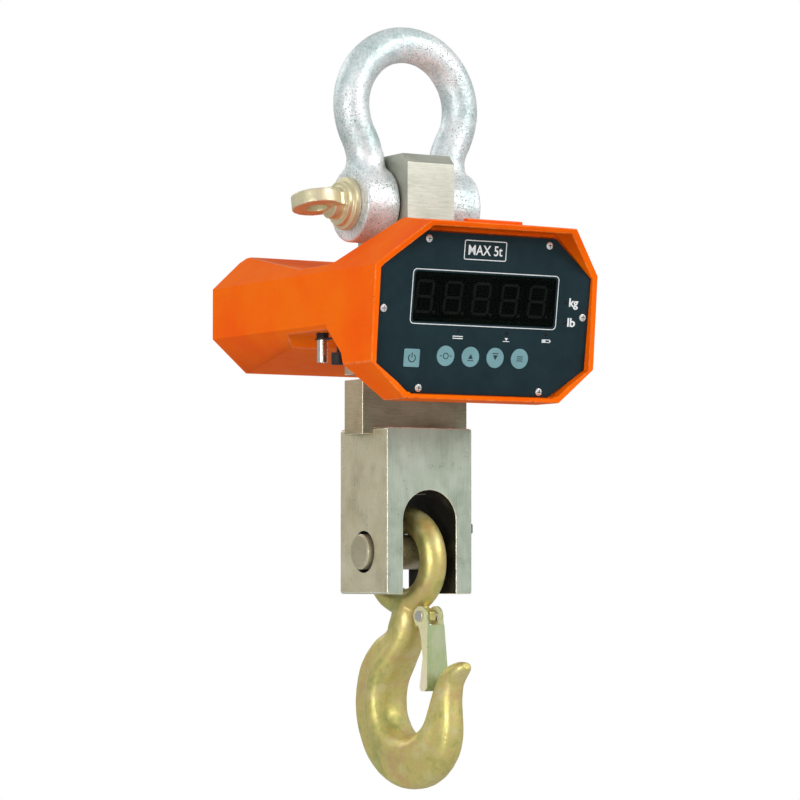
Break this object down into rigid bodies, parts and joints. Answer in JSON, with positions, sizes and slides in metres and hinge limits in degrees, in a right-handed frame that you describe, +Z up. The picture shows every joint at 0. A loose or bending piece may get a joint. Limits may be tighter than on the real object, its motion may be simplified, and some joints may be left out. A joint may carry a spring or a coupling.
{
  "type": "crane scale",
  "caption": "Hanging electronic crane scale with a bow shackle above, an octagonal display housing, and a clevis with a latched eye hook below.",
  "frame": {"origin": "inner top of the shackle's bow, where the hoist's hook bears", "axes": "+Z up along the load line, -Y towards the reader of the display, X along both pins"},
  "size_m": [0.241, 0.3384, 0.7202],
  "materials": {
    "shackle_bow": "hot-dip galvanised forging, mottled",
    "shackle_pin": "zinc plated, yellow passivated",
    "load_block": "nickel plated, milled",
    "steel_dark": "black oxide bolts and studs",
    "load_cell": "nickel plated, milled",
    "clevis": "nickel plated, milled, light wear",
    "pin_steel": "ground pin",
    "hook": "forged, yellow passivated zinc",
    "latch": "pressed, yellow passivated zinc",
    "housing": "cast aluminium, smooth orange powder coat",
    "rubber": "matt black",
    "panel": "dark blue-green overlay with printed marks",
    "window": "smoked acrylic",
    "screws": "bright zinc",
    "digits": "unlit red seven-segment modules",
    "board": "solder mask",
    "led": "unlit red lens",
    "switch": "moulded",
    "keys": "pale blue-green, soft",
    "battery": "moulded case",
    "bright": "zinc plated sheet and turned parts"
  },
  "bodies": {
    "shackle": {"shackle_bow": "shackle_bow", "shackle_pin": "shackle_pin"},
    "scale": {"load_block": "load_block", "cell_stud": "steel_dark", "load_cell": "load_cell", "cell_bolt": "steel_dark", "clevis": "clevis", "clevis_pin": "pin_steel", "pin_keeper": "steel_dark", "keeper_screws": "steel_dark", "housing": "housing", "housing_spacers": "bright", "housing_screws": "steel_dark", "panel_gasket": "rubber", "front_panel": "panel", "panel_screws": "screws", "display_window": "window", "led_digits": "digits", "main_board": "board", "board_standoffs": "bright", "indicator_leds": "led", "tact_switches": "switch", "rear_gasket": "rubber", "rear_cover": "housing", "rear_screws": "screws", "battery": "battery", "battery_strap": "bright", "strap_screws": "steel_dark", "charge_socket": "bright", "socket_collar": "rubber", "socket_cap": "rubber", "lead_grommets": "rubber", "cell_lead": "rubber", "power_lead": "rubber", "charge_lead": "rubber"},
    "hook": {"hook": "hook", "latch_pin": "bright", "latch_spring": "bright"},
    "latch": {"latch": "latch"},
    "power_key": {"power_key": "keys"},
    "key_1": {"key_1": "keys"},
    "key_2": {"key_2": "keys"},
    "key_3": {"key_3": "keys"},
    "key_4": {"key_4": "keys"}
  },
  "joints": [
    {"name": "shackle_swing", "type": "hinge", "parent": "shackle", "child": "scale", "pos_m": [0, 0, -0.138], "axis": [1, 0, 0], "range_deg": [-85, 85]},
    {"name": "hook_swing", "type": "hinge", "parent": "scale", "child": "hook", "pos_m": [0, 0, -0.464], "axis": [1, 0, 0], "range_deg": [-60, 60]},
    {"name": "latch_open", "type": "hinge", "parent": "hook", "child": "latch", "pos_m": [0.00556, -0.03151, -0.524], "axis": [0.9848, 0.1736, 0], "range_deg": [0, 24], "stiffness_Nm_per_rad": 0.12, "springref_deg": -34.38},
    {"name": "power_key_press", "type": "slide", "parent": "scale", "child": "power_key", "axis": [0, 0.9898, 0.1426], "range_m": [0, 0.0008], "stiffness_N_per_m": 400, "springref_m": -0.001},
    {"name": "key_1_press", "type": "slide", "parent": "scale", "child": "key_1", "axis": [0, 0.9898, 0.1426], "range_m": [0, 0.0008], "stiffness_N_per_m": 400, "springref_m": -0.001},
    {"name": "key_2_press", "type": "slide", "parent": "scale", "child": "key_2", "axis": [0, 0.9898, 0.1426], "range_m": [0, 0.0008], "stiffness_N_per_m": 400, "springref_m": -0.001},
    {"name": "key_3_press", "type": "slide", "parent": "scale", "child": "key_3", "axis": [0, 0.9898, 0.1426], "range_m": [0, 0.0008], "stiffness_N_per_m": 400, "springref_m": -0.001},
    {"name": "key_4_press", "type": "slide", "parent": "scale", "child": "key_4", "axis": [0, 0.9898, 0.1426], "range_m": [0, 0.0008], "stiffness_N_per_m": 400, "springref_m": -0.001}
  ]
}
